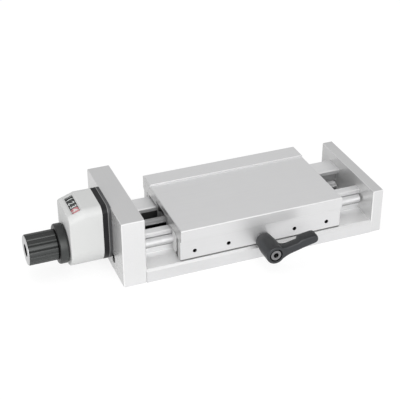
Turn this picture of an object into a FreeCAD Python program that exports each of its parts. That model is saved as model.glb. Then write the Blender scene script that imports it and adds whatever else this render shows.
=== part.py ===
import FreeCAD, Part
import os
from math import cos, pi, radians, sin, tan

# Adjustment slide: an aluminium base with two inlaid guide rods, a carriage moved by a
# hand-turned screw, a clamping lever and a position indicator with number wheels.
#
# Frame: X runs along the travel, from the knob end (-X) to the free end (+X), Y goes to the
# rear and Z up. The origin is the centre of the base's underside, and the carriage stands in
# the middle of its travel. All sizes are in millimetres.

# Base and end plates
base_length = 170.8
base_width = 80.0
floor_thickness = 9.9
base_edge_chamfer = 1.5
drive_plate_thickness = 16.3
drive_plate_height = 50.0
free_plate_thickness = 8.1
free_plate_height = 34.0
plate_edge_chamfer = 0.5

# Rail of the base profile, with the channel for the screw
rail_front_y = -20.2
rail_width = 47.6
rail_top_z = 25.6
rail_edge_chamfer = 0.7
channel_width = 25.0
channel_shift = 0.5
channel_undercut = 1.0
channel_rear_undercut = 4.5
channel_lip_height = 3.2
channel_foot_height = 2.0
rod_radius = 3.0
rod_stand_out = 1.3
rod_z = 19.1
rod_end_gap = 1.2
rod_mouth_clearance = 0.5
rod_mouth_depth = 1.0

# Screw axis
axis_y = -1.5
axis_z = 20.5

# Holes in the base for its own screws and for the bolts of the user
mount_hole_radius = 2.5
mount_hole_depth = 7.5
mount_spacing_x = 140.0
mount_spacing_y = 60.0
plate_screw_radius = 2.0
plate_screw_length = 20.0
plate_screw_head_radius = 3.5
plate_screw_head_height = 4.0
plate_screw_front_y = -17.1
plate_screw_rear_y = 19.5
plate_screw_low_z = 10.3
plate_screw_high_z = 20.3
key_depth_share = 0.55
counterbore_clearance = 0.25

# Carriage
carriage_length = 121.0
carriage_side_inset = 0.15
carriage_top_z = 34.8
flange_bottom_z = 26.4
flange_overhang = 2.0
flange_bevel_height = 1.5
carriage_floor_gap = 0.4
carriage_rail_gap = 1.0
carriage_edge_chamfer = 0.5
carriage_end_chamfer = 0.4
strip_width = 15.0
strip_height = 1.2
strip_edge_chamfer = 0.2
recess_side_gap = 0.4
recess_top_z = 31.5
recess_corner_radius = 1.5
gib_pocket_wall = 7.6
gib_joint_gap = 0.8
gib_corner_radius = 4.0
gib_foot_gap = 0.5
gib_rod_gap = 1.4
gib_foot_z = 15.0
gib_end_inset = 0.3
slide_clearance = 0.05
liner_thickness = 4.1
liner_gap = 0.5

# Gib screws and pins
gib_screw_radius = 1.5
gib_screw_z = 16.2
gib_screw_offsets = (-50.0, -25.0, 25.0, 50.0)
gib_screw_inset = 0.5
gib_screw_key_radius = 0.85
gib_pin_radius = 1.1
gib_pin_length = 6.0
gib_pin_z = 12.0

# Lead screw and its bearing in the drive plate
screw_radius = 4.0
screw_free_end_x = 75.0
screw_end_chamfer = 0.6
running_clearance = 0.05
bush_radius = 6.0
bush_flange_radius = 9.4
bush_flange_thickness = 1.5
bearing_bore_radius = 10.0
bearing_bore_depth = 9.0
thrust_collar_radius = 8.0
thrust_collar_width = 4.0
axial_play = 0.05

# Nuts of the carriage on the lead screw
nut_side_gap = 1.2
nut_length = 19.5
nut_floor_gap = 0.6
nut_end_inset = 0.2
nut_edge_chamfer = 1.2
nut_top_chamfer = 1.7
nut_mouth_radius = 8.8
nut_mouth_depth = 5.5
wiper_depth = 1.5
wiper_thickness = 3.0
wiper_gap = 0.4
nut_screw_radius = 2.0
nut_screw_spacing = 14.0
nut_screw_head_radius = 3.5
nut_screw_head_height = 4.0
nut_screw_web_depth = 2.5

# Position indicator
adapter_thickness = 2.4
indicator_base_thickness = 3.7
indicator_half_width = 16.5
indicator_top_over_axis = 30.9
indicator_depth = 22.8
indicator_wall = 1.8
indicator_corner_radius = 5.5
indicator_edge_fillet = 0.9
facet_start = 12.1
facet_angle = 20.0
window_length = 24.0
window_width = 7.7
window_thickness = 1.0
window_sink = 0.2
window_ledge = 0.5
window_from_base = 16.5
adapter_screw_spacing = 22.0
adapter_screw_depth = 7.9
adapter_screw_radius = 1.5
adapter_screw_head_radius = 2.8
adapter_screw_length = 9.0

# Counter of the indicator
wheel_radius = 7.5
wheel_width = 5.2
wheel_pitch = 5.5
wheel_count = 4
wheel_below_window = 1.0
axle_radius = 1.5
axle_seat_depth = 0.9
drive_gear_radius = 9.6
drive_gear_width = 5.0
drive_gear_teeth = 20
cross_pinion_radius = 3.0
cross_pinion_width = 6.0
cross_pinion_teeth = 10
counter_gear_teeth = 16
spur_pinion_teeth = 8
spur_width = 1.6
gear_gap = 0.3
tooth_depth = 0.9
tooth_tip_share = 0.14
tooth_foot_share = 0.34
transfer_shaft_from_base = 5.1
transfer_shaft_radius = 1.2

# Knob
knob_gap = 0.7
hollow_shaft_radius = 7.0
hollow_shaft_length = 38.0
shaft_bore_clearance = 0.4
collar_radius = 14.0
collar_width = 6.1
collar_chamfer = 0.8
grip_radius = 10.7
grip_length = 20.5
grip_wall = 1.5
flute_count = 16
flute_radius = 0.9
flute_depth = 0.6
core_disc_thickness = 0.3
core_disc_inset = 0.4
core_bore_depth = 10.0
core_bore_radius = 4.4
knob_screw_radius = 2.0
knob_screw_inset = 0.6

# Clamping lever
lever_x = 0.0
lever_z = 14.5
stud_radius = 2.5
stud_head_radius = 4.0
stud_gap = 0.1
stud_shelf_gap = 0.3
pad_radius = 2.2
pad_thickness = 1.7
hub_gap = 2.7
hub_length = 21.3
hub_base_radius = 5.9
hub_end_radius = 6.7
hub_flare_length = 9.4
hub_end_chamfer = 0.8
hub_recess_radius = 4.7
hub_recess_depth = 8.8
hub_shelf_thickness = 1.2
hub_fit = 0.08
lever_screw_head_radius = 3.7
lever_screw_head_height = 3.0
lever_screw_head_inset = 0.3
lever_screw_shank_radius = 1.9
shelf_hole_clearance = 0.3
stud_thread_share = 2 / 3
arm_reach = 32.5
arm_angle = 12.5
arm_drop = 0.7
arm_width = 7.0
arm_thickness = 7.0
arm_tip_length = 13.0
arm_tip_rise = 1.0
arm_chamfer = 1.3

# Places worked out from the sizes
half_base = base_length / 2
half_width = base_width / 2
half_carriage = carriage_length / 2
carriage_width = base_width - 2 * carriage_side_inset
rail_rear_y = rail_front_y + rail_width
channel_front_y = axis_y + channel_shift - channel_width / 2
channel_rear_y = axis_y + channel_shift + channel_width / 2
nut_half_width = channel_width / 2 - nut_side_gap
nut_bottom_z = floor_thickness + nut_floor_gap
recess_front_y = axis_y - nut_half_width - recess_side_gap
recess_rear_y = axis_y + nut_half_width + recess_side_gap
rod_front_y = rail_front_y - rod_stand_out
rod_rear_y = rail_rear_y + rod_stand_out
drive_face_x = -half_base - drive_plate_thickness
free_face_x = half_base + free_plate_thickness
carriage_bottom_z = floor_thickness + carriage_floor_gap
carriage_under_z = rail_top_z + carriage_rail_gap
skirt_front_y = -carriage_width / 2 + flange_overhang
skirt_rear_y = carriage_width / 2 - flange_overhang
gib_pocket_y = skirt_front_y + gib_pocket_wall
gib_outer_y = gib_pocket_y + gib_joint_gap
gib_joint_y = gib_pocket_y + gib_joint_gap / 2
liner_outer_y = rail_rear_y + liner_gap + liner_thickness
adapter_face_x = drive_face_x - adapter_thickness
indicator_top_z = axis_z + indicator_top_over_axis
adapter_screw_z = indicator_top_z - adapter_screw_depth
indicator_base_x = adapter_face_x - indicator_base_thickness
indicator_face_x = indicator_base_x - indicator_depth
facet_start_x = indicator_base_x - facet_start
window_x = indicator_base_x - window_from_base
facet_slope = tan(radians(facet_angle))
window_z = indicator_top_z - (facet_start_x - window_x) * facet_slope
facet_normal = FreeCAD.Vector(-sin(radians(facet_angle)), 0, cos(radians(facet_angle)))
wheel_drop = window_sink + window_thickness + wheel_below_window + wheel_radius
wheel_axis_x = window_x - wheel_drop * facet_normal.x
wheel_axis_z = window_z - wheel_drop * facet_normal.z
transfer_axis_x = indicator_base_x - transfer_shaft_from_base
transfer_axis_z = axis_z + drive_gear_radius + gear_gap + cross_pinion_radius
collar_right_x = indicator_face_x - knob_gap
collar_left_x = collar_right_x - collar_width
grip_end_x = collar_left_x - grip_length
knob_end_x = grip_end_x - core_disc_thickness
grip_inner_radius = grip_radius - grip_wall
screw_knob_end_x = knob_end_x + core_bore_depth
hollow_shaft_x = indicator_base_x + indicator_base_thickness / 2
stud_head_y = skirt_front_y - stud_gap
hub_base_y = skirt_front_y - hub_gap
hub_end_y = hub_base_y - hub_length
shelf_outer_y = hub_end_y + hub_recess_depth
lever_head_outer_y = hub_end_y + lever_screw_head_inset
lever_head_inner_y = lever_head_outer_y + lever_screw_head_height
stud_end_y = shelf_outer_y + hub_shelf_thickness + stud_shelf_gap
stud_thread_y = stud_end_y + (stud_head_y - stud_end_y) * stud_thread_share


def box(x0, x1, y0, y1, z0, z1):
    return Part.makeBox(x1 - x0, y1 - y0, z1 - z0, FreeCAD.Vector(x0, y0, z0))


def cylinder_x(x0, x1, y, z, radius):
    return Part.makeCylinder(radius, x1 - x0, FreeCAD.Vector(x0, y, z), FreeCAD.Vector(1, 0, 0))


def cylinder_y(y0, y1, x, z, radius):
    return Part.makeCylinder(radius, y1 - y0, FreeCAD.Vector(x, y0, z), FreeCAD.Vector(0, 1, 0))


def cylinder_z(z0, z1, x, y, radius):
    return Part.makeCylinder(radius, z1 - z0, FreeCAD.Vector(x, y, z0), FreeCAD.Vector(0, 0, 1))


def ring_x(x0, x1, y, z, outer, inner):
    return cylinder_x(x0, x1, y, z, outer).cut(cylinder_x(x0 - 1, x1 + 1, y, z, inner))


def hexagon_prism(centre, direction, across_radius, depth):
    """Six-sided socket whose mouth is at centre and whose floor lies along direction."""
    corners = [FreeCAD.Vector(across_radius * cos(k * pi / 3), across_radius * sin(k * pi / 3), 0)
               for k in range(7)]
    prism = Part.Face(Part.makePolygon(corners)).extrude(FreeCAD.Vector(0, 0, depth))
    turn = FreeCAD.Rotation(FreeCAD.Vector(0, 0, 1), direction)
    prism.Placement = FreeCAD.Placement(centre, turn)
    return prism


def prism_x(outline, x0, x1):
    """Closed outline of (y, z) points, carried along X."""
    points = [FreeCAD.Vector(x0, y, z) for y, z in outline]
    face = Part.Face(Part.makePolygon(points + points[:1]))
    return face.extrude(FreeCAD.Vector(x1 - x0, 0, 0))


def prism_y(outline, y0, y1):
    """Closed outline of (x, z) points, carried along Y."""
    points = [FreeCAD.Vector(x, y0, z) for x, z in outline]
    face = Part.Face(Part.makePolygon(points + points[:1]))
    return face.extrude(FreeCAD.Vector(0, y1 - y0, 0))


def cut_all(shape, tools):
    for tool in tools:
        shape = shape.cut(tool)
    return shape


def fuse_all(shapes):
    whole = shapes[0]
    for shape in shapes[1:]:
        whole = whole.fuse(shape)
    return whole.removeSplitter()


def edges_along(shape, direction):
    """Straight edges that run along one axis."""
    found = []
    for edge in shape.Edges:
        if edge.Curve.TypeId != "Part::GeomLine":
            continue
        along = edge.Vertexes[-1].Point.sub(edge.Vertexes[0].Point)
        if along.Length > 0.01 and abs(along.normalize().dot(direction)) > 0.999:
            found.append(edge)
    return found


def write(name, shape):
    if shape.ShapeType == "Compound" and len(shape.Solids) == 1:
        shape = shape.Solids[0]
    shape.exportStep(os.path.join("parts", name + ".step"))


# Screw places shared by the plates and the base
plate_screw_places = (
    (plate_screw_front_y, plate_screw_low_z),
    (plate_screw_rear_y, plate_screw_low_z),
    (plate_screw_rear_y, plate_screw_high_z),
)
plate_screw_head_seat = plate_screw_head_height + counterbore_clearance


# Base

def groove_mouth(rod_y, inner_y):
    """Wider mouth of a rod's groove; the rod touches only the groove's bottom, past inner_y."""
    radius = rod_radius + rod_mouth_clearance
    outer_y = rod_y + (rod_y - inner_y)
    band = box(-half_base, half_base, min(inner_y, outer_y), max(inner_y, outer_y),
               rod_z - radius, rod_z + radius)
    return cylinder_x(-half_base, half_base, rod_y, rod_z, radius).common(band)


def base_profile():
    """Extruded profile: bevelled floor, rail, undercut channel and two rod grooves."""
    c = rail_edge_chamfer
    b = base_edge_chamfer
    outline = [
        (-half_width, 0), (half_width, 0), (half_width, floor_thickness - b),
        (half_width - b, floor_thickness), (rail_rear_y, floor_thickness),
        (rail_rear_y, rail_top_z - c), (rail_rear_y - c, rail_top_z),
        (channel_rear_y + c, rail_top_z), (channel_rear_y, rail_top_z - c),
        (channel_rear_y, rail_top_z - channel_lip_height),
        (channel_rear_y + channel_rear_undercut, rail_top_z - channel_lip_height),
        (channel_rear_y + channel_rear_undercut, floor_thickness + channel_foot_height),
        (channel_rear_y, floor_thickness),
        (channel_front_y, floor_thickness),
        (channel_front_y - channel_undercut, floor_thickness + channel_foot_height),
        (channel_front_y - channel_undercut, rail_top_z - channel_lip_height - channel_undercut),
        (channel_front_y, rail_top_z - channel_lip_height),
        (channel_front_y, rail_top_z - c), (channel_front_y - c, rail_top_z),
        (rail_front_y + c, rail_top_z), (rail_front_y, rail_top_z - c),
        (rail_front_y, floor_thickness), (b - half_width, floor_thickness),
        (-half_width, floor_thickness - b),
    ]
    profile = prism_x(outline, -half_base, half_base)
    holes = [cylinder_x(-half_base, half_base, y, rod_z, rod_radius)
             for y in (rod_front_y, rod_rear_y)]
    holes.append(groove_mouth(rod_front_y, rail_front_y + rod_mouth_depth))
    holes.append(groove_mouth(rod_rear_y, rail_rear_y - rod_mouth_depth))
    for sx in (-1, 1):
        for sy in (-1, 1):
            holes.append(cylinder_z(0, mount_hole_depth, sx * mount_spacing_x / 2,
                                    sy * mount_spacing_y / 2, mount_hole_radius))
    for y, z in plate_screw_places:
        for plate_thickness, side in ((drive_plate_thickness, -1), (free_plate_thickness, 1)):
            depth = plate_screw_length - plate_thickness + plate_screw_head_seat
            x0, x1 = sorted((side * half_base, side * (half_base - depth)))
            holes.append(cylinder_x(x0, x1, y, z, plate_screw_radius))
    return cut_all(profile, holes)


def guide_rod(y):
    return cylinder_x(-half_base + rod_end_gap, half_base - rod_end_gap, y, rod_z, rod_radius)


def end_plate(x0, x1, height, outer_x):
    """Plain plate with broken edges and counterbored holes for its three screws."""
    plate = box(x0, x1, -half_width, half_width, 0, height)
    plate = plate.makeChamfer(plate_edge_chamfer, plate.Edges)
    holes = []
    for y, z in plate_screw_places:
        holes.append(cylinder_x(x0, x1, y, z, plate_screw_radius + counterbore_clearance))
        seat_x = outer_x + plate_screw_head_seat * (1 if outer_x < 0 else -1)
        s0, s1 = sorted((outer_x, seat_x))
        holes.append(cylinder_x(s0, s1, y, z, plate_screw_head_radius + counterbore_clearance))
    return cut_all(plate, holes)


def adapter_screw_places():
    return [(axis_y + side * adapter_screw_spacing / 2, adapter_screw_z)
            for side in (-1, 1)]


def drive_end_plate():
    plate = end_plate(drive_face_x, -half_base, drive_plate_height, drive_face_x)
    bores = [
        cylinder_x(drive_face_x, -half_base, axis_y, axis_z, bush_radius),
        cylinder_x(drive_face_x, drive_face_x + bearing_bore_depth, axis_y, axis_z,
                   bearing_bore_radius),
    ]
    depth = adapter_screw_length - adapter_thickness
    for y, z in adapter_screw_places():
        bores.append(cylinder_x(drive_face_x, drive_face_x + depth, y, z, adapter_screw_radius))
    return cut_all(plate, bores)


def free_end_plate():
    return end_plate(half_base, free_face_x, free_plate_height, free_face_x)


def cap_screw(face_x, side, y, z):
    """Socket head screw along X; side is the way its shank points."""
    head_x = face_x + side * counterbore_clearance
    seat_x = head_x + side * plate_screw_head_height
    tip_x = seat_x + side * plate_screw_length
    h0, h1 = sorted((head_x, seat_x))
    s0, s1 = sorted((seat_x, tip_x))
    head = cylinder_x(h0, h1, y, z, plate_screw_head_radius)
    shank = cylinder_x(s0, s1, y, z, plate_screw_radius)
    socket = hexagon_prism(FreeCAD.Vector(head_x, y, z), FreeCAD.Vector(side, 0, 0),
                           plate_screw_head_radius * key_depth_share,
                           plate_screw_head_height * key_depth_share)
    return head.fuse(shank).removeSplitter().cut(socket)


def plate_screws(face_x, side):
    return Part.makeCompound([cap_screw(face_x, side, y, z) for y, z in plate_screw_places])


# Screw drive

def spindle_bush():
    """Flanged plain bush in the drive plate, which takes the thrust on its flange."""
    seat_x = drive_face_x + bearing_bore_depth
    sleeve = cylinder_x(seat_x, -half_base, axis_y, axis_z, bush_radius)
    flange = cylinder_x(seat_x - bush_flange_thickness, seat_x, axis_y, axis_z,
                        bush_flange_radius)
    bore = cylinder_x(drive_face_x, -half_base, axis_y, axis_z, screw_radius + running_clearance)
    return sleeve.fuse(flange).removeSplitter().cut(bore)


thrust_collar_right_x = drive_face_x + bearing_bore_depth - bush_flange_thickness - axial_play
thrust_collar_left_x = thrust_collar_right_x - thrust_collar_width


def thrust_collar():
    """Ring fixed on the lead screw, between the bush's flange and the bearing cover."""
    return ring_x(thrust_collar_left_x, thrust_collar_right_x, axis_y, axis_z,
                  thrust_collar_radius, screw_radius)


def bearing_cover():
    """Disc that closes the bearing bore and holds the thrust collar."""
    return ring_x(drive_face_x, thrust_collar_left_x - axial_play, axis_y, axis_z,
                  bearing_bore_radius, screw_radius + running_clearance)


def lead_screw():
    """Threaded shaft; the thread's crest is the full radius."""
    shaft = cylinder_x(screw_knob_end_x, screw_free_end_x, axis_y, axis_z, screw_radius)
    ends = [e for e in shaft.Edges if e.Curve.TypeId == "Part::GeomCircle"
            and abs(e.CenterOfMass.x - screw_free_end_x) < 0.01]
    return shaft.makeChamfer(screw_end_chamfer, ends)


# Indicator

def u_block(x0, x1, half, top_z):
    """Block with a round foot about the screw axis and square shoulders."""
    foot = cylinder_x(x0, x1, axis_y, axis_z, half)
    body = box(x0, x1, axis_y - half, axis_y + half, axis_z, top_z)
    return foot.fuse(body).removeSplitter()


def shoulder_edges(shape, half):
    """Edges between a block's two straight sides and whatever closes it at the top."""
    found = []
    for edge in shape.Edges:
        ends = [v.Point for v in edge.Vertexes]
        on_side = [abs(abs(p.y - axis_y) - half) < 0.01 and p.z > axis_z + 1 for p in ends]
        runs_in_x = abs(ends[0].x - ends[-1].x) > 0.01
        if all(on_side) and runs_in_x:
            found.append(edge)
    return found


def u_plate(x0, x1, half, top_z, corner):
    block = u_block(x0, x1, half, top_z)
    return block.makeFillet(corner, shoulder_edges(block, half))


def facet_cutter(inset):
    """Wedge above the sloping window facet, shifted inwards by inset."""
    lift = -inset / cos(radians(facet_angle))
    z_start = indicator_top_z + lift
    far = 2 * indicator_depth
    outline = [
        (facet_start_x + far, z_start + far * facet_slope),
        (facet_start_x - far, z_start - far * facet_slope),
        (facet_start_x - far, z_start + far), (facet_start_x + far, z_start + far),
    ]
    return prism_y(outline, axis_y - 2 * indicator_half_width, axis_y + 2 * indicator_half_width)


def indicator_adapter():
    """Grey plate between the drive plate and the indicator."""
    plate = u_plate(adapter_face_x, drive_face_x, indicator_half_width, indicator_top_z,
                    indicator_corner_radius)
    holes = [cylinder_x(adapter_face_x, drive_face_x, axis_y, axis_z,
                        screw_radius + shaft_bore_clearance)]
    for y, z in adapter_screw_places():
        holes.append(cylinder_x(adapter_face_x, drive_face_x, y, z, adapter_screw_radius))
        holes.append(Part.makeCone(adapter_screw_head_radius, adapter_screw_radius,
                                   adapter_screw_head_radius - adapter_screw_radius,
                                   FreeCAD.Vector(adapter_face_x, y, z),
                                   FreeCAD.Vector(1, 0, 0)))
    return cut_all(plate, holes)


def adapter_screws():
    """Two countersunk screws that hold the adapter on the drive plate."""
    cone = adapter_screw_head_radius - adapter_screw_radius
    screws = []
    for y, z in adapter_screw_places():
        head = Part.makeCone(adapter_screw_head_radius, adapter_screw_radius, cone,
                             FreeCAD.Vector(adapter_face_x, y, z), FreeCAD.Vector(1, 0, 0))
        shank = cylinder_x(adapter_face_x + cone, adapter_face_x + adapter_screw_length,
                           y, z, adapter_screw_radius)
        screws.append(head.fuse(shank).removeSplitter())
    return Part.makeCompound(screws)


def indicator_base():
    """Black cover plate on the back of the indicator, with the plain bearing of its shaft."""
    plate = u_plate(indicator_base_x, adapter_face_x, indicator_half_width, indicator_top_z,
                    indicator_corner_radius)
    seat = cylinder_x(indicator_base_x, hollow_shaft_x, axis_y, axis_z,
                      hollow_shaft_radius + running_clearance)
    bore = cylinder_x(indicator_base_x, adapter_face_x, axis_y, axis_z,
                      screw_radius + shaft_bore_clearance)
    return cut_all(plate, [seat, bore])


def window_block(length, width, depth, top):
    """Box square to the facet, centred on the window; top is its height over the facet."""
    block = Part.makeBox(width, length, depth,
                         FreeCAD.Vector(-width / 2, -length / 2, top - depth))
    turn = FreeCAD.Rotation(FreeCAD.Vector(0, 1, 0), -facet_angle)
    block.Placement = FreeCAD.Placement(FreeCAD.Vector(window_x, axis_y, window_z), turn)
    return block


def axle_y_range():
    reach = indicator_half_width - indicator_wall + axle_seat_depth
    return axis_y - reach, axis_y + reach


def indicator_housing():
    """Moulded shell, open at the back, with the window facet and the shaft's bore."""
    outer = u_block(indicator_face_x, indicator_base_x, indicator_half_width, indicator_top_z)
    outer = outer.cut(facet_cutter(0))
    outer = outer.makeFillet(indicator_corner_radius, shoulder_edges(outer, indicator_half_width))
    rim = [e for e in outer.Edges
           if all(abs(p.Point.x - indicator_face_x) < 0.01 for p in e.Vertexes)]
    outer = outer.makeFillet(indicator_edge_fillet, rim)
    inner_half = indicator_half_width - indicator_wall
    inner = u_block(indicator_face_x + indicator_wall, indicator_base_x, inner_half,
                    indicator_top_z - indicator_wall)
    inner = inner.cut(facet_cutter(indicator_wall))
    inner = inner.makeFillet(indicator_corner_radius - indicator_wall,
                             shoulder_edges(inner, inner_half))
    y0, y1 = axle_y_range()
    tools = [
        inner,
        cylinder_x(indicator_face_x - 1, indicator_base_x, axis_y, axis_z,
                   hollow_shaft_radius + shaft_bore_clearance),
        window_block(window_length, window_width, window_sink + window_thickness, 0),
        window_block(window_length - 2 * window_ledge, window_width - 2 * window_ledge,
                     2 * indicator_wall, 0),
        cylinder_y(y0, y1, wheel_axis_x, wheel_axis_z, axle_radius),
        cylinder_y(y0, y1, transfer_axis_x, transfer_axis_z,
                   transfer_shaft_radius + running_clearance),
    ]
    return cut_all(outer, tools)


def indicator_window():
    """Clear pane on the ledge of the window opening."""
    return window_block(window_length, window_width, window_thickness, -window_sink)


def counter_axle():
    y0, y1 = axle_y_range()
    return cylinder_y(y0, y1, wheel_axis_x, wheel_axis_z, axle_radius)


def toothed_disc(direction, centre, radius, width, teeth):
    """Gear with plain tapered teeth; centre is the middle of the disc."""
    foot_radius = radius - tooth_depth
    tooth = ((-tooth_foot_share, foot_radius), (-tooth_tip_share, radius),
             (tooth_tip_share, radius), (tooth_foot_share, foot_radius))
    corners = []
    for k in range(teeth):
        for share, r in tooth:
            angle = 2 * pi * (k + share) / teeth
            corners.append(FreeCAD.Vector(r * cos(angle), r * sin(angle), -width / 2))
    face = Part.Face(Part.makePolygon(corners + corners[:1]))
    gear = face.extrude(FreeCAD.Vector(0, 0, width))
    turn = FreeCAD.Rotation(FreeCAD.Vector(0, 0, 1), direction)
    gear.Placement = FreeCAD.Placement(centre, turn)
    return gear


def wheel_centre_y(index):
    """Wheels stand side by side; index 0 is the tenths wheel, at the front."""
    return axis_y + (index - (wheel_count - 1) / 2) * wheel_pitch


def number_wheel(index):
    """Drum that carries the numbers and turns on the axle."""
    y = wheel_centre_y(index)
    drum = cylinder_y(y - wheel_width / 2, y + wheel_width / 2, wheel_axis_x, wheel_axis_z,
                      wheel_radius)
    bore = cylinder_y(y - wheel_width, y + wheel_width, wheel_axis_x, wheel_axis_z,
                      axle_radius + running_clearance)
    return drum.cut(bore)


def spur_y():
    """Middle of the spur pair, between the tenths wheel and the housing's front wall."""
    return wheel_centre_y(0) - wheel_width / 2 - spur_width / 2


def spur_radii():
    """Radii of the counter gear and its pinion, shared out by their tooth numbers."""
    distance = ((transfer_axis_x - wheel_axis_x) ** 2
                + (transfer_axis_z - wheel_axis_z) ** 2) ** 0.5
    together = counter_gear_teeth + spur_pinion_teeth
    return ((distance - gear_gap) * counter_gear_teeth / together,
            (distance - gear_gap) * spur_pinion_teeth / together)


def counter_gear():
    """Spur gear on the side of the tenths wheel."""
    centre = FreeCAD.Vector(wheel_axis_x, spur_y(), wheel_axis_z)
    bore = cylinder_y(spur_y() - spur_width, spur_y() + spur_width, wheel_axis_x, wheel_axis_z,
                      axle_radius + running_clearance)
    gear = toothed_disc(FreeCAD.Vector(0, 1, 0), centre, spur_radii()[0], spur_width,
                        counter_gear_teeth)
    return gear.cut(bore)


def transfer_shaft():
    """Cross shaft that takes the turn of the drive gear up to the counter."""
    direction = FreeCAD.Vector(0, 1, 0)
    y0, y1 = axle_y_range()
    shaft = cylinder_y(y0 + axial_play, y1 - axial_play, transfer_axis_x, transfer_axis_z,
                       transfer_shaft_radius)
    cross = toothed_disc(direction, FreeCAD.Vector(transfer_axis_x, axis_y, transfer_axis_z),
                         cross_pinion_radius, cross_pinion_width, cross_pinion_teeth)
    spur = toothed_disc(direction, FreeCAD.Vector(transfer_axis_x, spur_y(), transfer_axis_z),
                        spur_radii()[1], spur_width, spur_pinion_teeth)
    return fuse_all([shaft, cross, spur])


# Hollow shaft and knob

def hollow_shaft():
    """Tube of the indicator, clamped on the lead screw, that carries gear and knob."""
    return ring_x(hollow_shaft_x - hollow_shaft_length, hollow_shaft_x, axis_y, axis_z,
                  hollow_shaft_radius, screw_radius)


def drive_gear():
    centre = FreeCAD.Vector(transfer_axis_x, axis_y, axis_z)
    gear = toothed_disc(FreeCAD.Vector(1, 0, 0), centre, drive_gear_radius, drive_gear_width,
                        drive_gear_teeth)
    bore = cylinder_x(indicator_face_x, indicator_base_x, axis_y, axis_z, hollow_shaft_radius)
    return gear.cut(bore)


def knob_core():
    """Turned metal sleeve; its end disc closes the grip and shows the bore."""
    sleeve = cylinder_x(grip_end_x, collar_right_x, axis_y, axis_z, grip_inner_radius)
    disc = cylinder_x(knob_end_x, grip_end_x, axis_y, axis_z, grip_radius - core_disc_inset)
    shaft_end_x = hollow_shaft_x - hollow_shaft_length
    bores = [
        cylinder_x(shaft_end_x, collar_right_x, axis_y, axis_z, hollow_shaft_radius),
        cylinder_x(screw_knob_end_x, shaft_end_x, axis_y, axis_z, screw_radius),
        cylinder_x(knob_end_x, screw_knob_end_x, axis_y, axis_z, core_bore_radius),
        knob_screw_hole(),
    ]
    return cut_all(sleeve.fuse(disc).removeSplitter(), bores)


def knob_grip():
    """Fluted sleeve of the hand knob."""
    grip = ring_x(grip_end_x, collar_left_x, axis_y, axis_z, grip_radius, grip_inner_radius)
    centre_radius = grip_radius + flute_radius - flute_depth
    flutes = []
    for k in range(flute_count):
        angle = 2 * pi * k / flute_count
        flutes.append(cylinder_x(grip_end_x - 1, collar_left_x + 1,
                                 axis_y + centre_radius * cos(angle),
                                 axis_z + centre_radius * sin(angle), flute_radius))
    return grip.cut(Part.makeCompound(flutes))


def knob_screw_hole():
    x = (collar_left_x + collar_right_x) / 2
    return cylinder_y(axis_y + hollow_shaft_radius, axis_y + collar_radius + 1, x, axis_z,
                      knob_screw_radius)


def knob_collar():
    """Ring at the foot of the knob, which carries the clamping screw."""
    collar = cylinder_x(collar_left_x, collar_right_x, axis_y, axis_z, collar_radius)
    rims = [e for e in collar.Edges if e.Curve.TypeId == "Part::GeomCircle"]
    collar = collar.makeChamfer(collar_chamfer, rims)
    bore = cylinder_x(collar_left_x, collar_right_x, axis_y, axis_z, grip_inner_radius)
    return cut_all(collar, [bore, knob_screw_hole()])


def knob_set_screw():
    x = (collar_left_x + collar_right_x) / 2
    outer_y = axis_y + collar_radius - knob_screw_inset
    screw = cylinder_y(axis_y + hollow_shaft_radius, outer_y, x, axis_z, knob_screw_radius)
    socket = hexagon_prism(FreeCAD.Vector(x, outer_y, axis_z), FreeCAD.Vector(0, -1, 0),
                           knob_screw_radius * key_depth_share, knob_screw_radius)
    return screw.cut(socket)


# Carriage

def rounded_corner(y, z, radius, turn_y, turn_z, x0, x1):
    """Sliver that fills an inner corner at (y, z), rounded with a quarter circle."""
    square = box(x0, x1, min(y, y + turn_y * radius), max(y, y + turn_y * radius),
                 min(z, z + turn_z * radius), max(z, z + turn_z * radius))
    return square.cut(cylinder_x(x0, x1, y + turn_y * radius, z + turn_z * radius, radius))


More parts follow.
